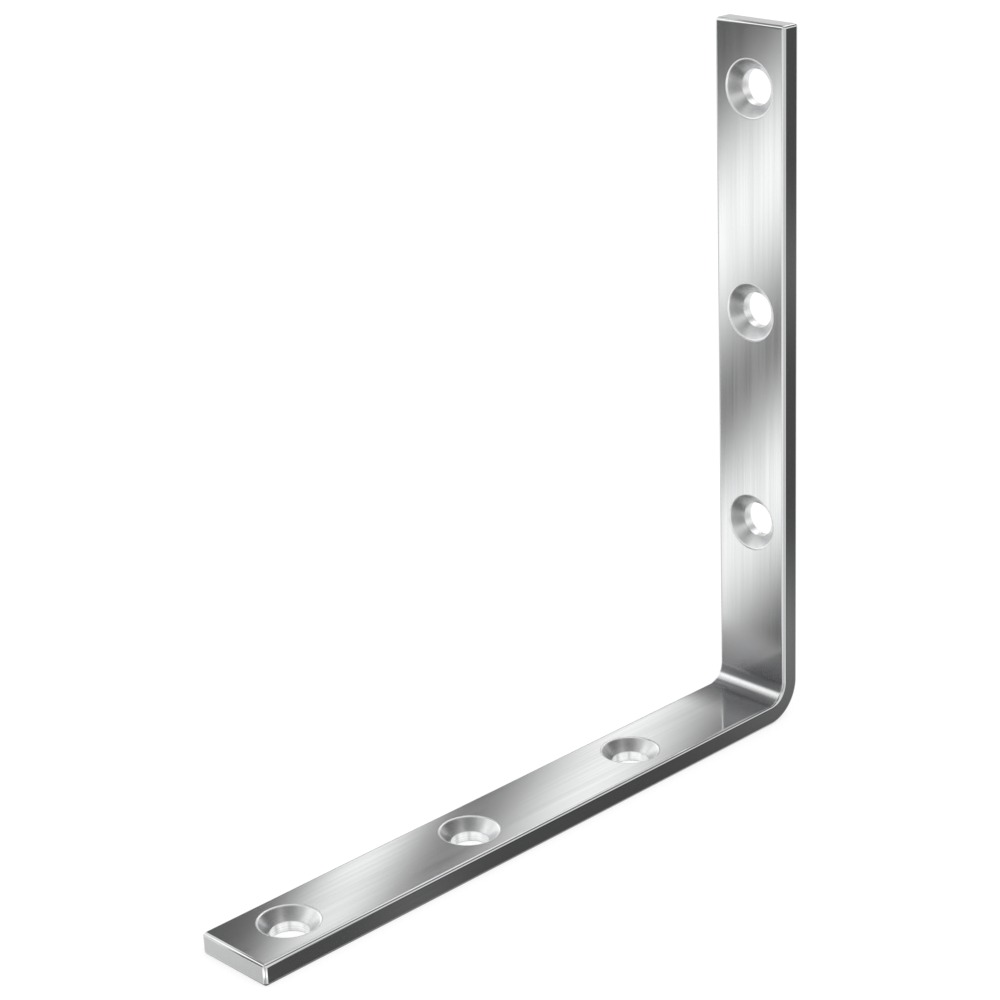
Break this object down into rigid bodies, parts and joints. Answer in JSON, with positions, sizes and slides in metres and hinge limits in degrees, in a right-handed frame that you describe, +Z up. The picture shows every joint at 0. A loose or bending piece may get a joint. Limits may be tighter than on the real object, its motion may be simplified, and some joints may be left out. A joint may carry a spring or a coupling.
{
  "type": "angle bracket",
  "caption": "Heavy-duty angle bracket bent from one flat steel bar to a right angle, with countersunk screw holes along both legs.",
  "frame": {"origin": "the heel: the line where the planes of the two outer faces meet, at the middle of the bar's width", "axes": "+X along the base leg, +Z up the wall leg, Y across the bar's width; the part rests on the base leg's outer face at z = 0"},
  "size_m": [0.15, 0.018, 0.15],
  "materials": {
    "zinc_plated_steel": "bright zinc plate over a satin, lengthwise polished bar"
  },
  "bodies": {
    "root": {"angle_bracket": "zinc_plated_steel"}
  },
  "joints": []
}
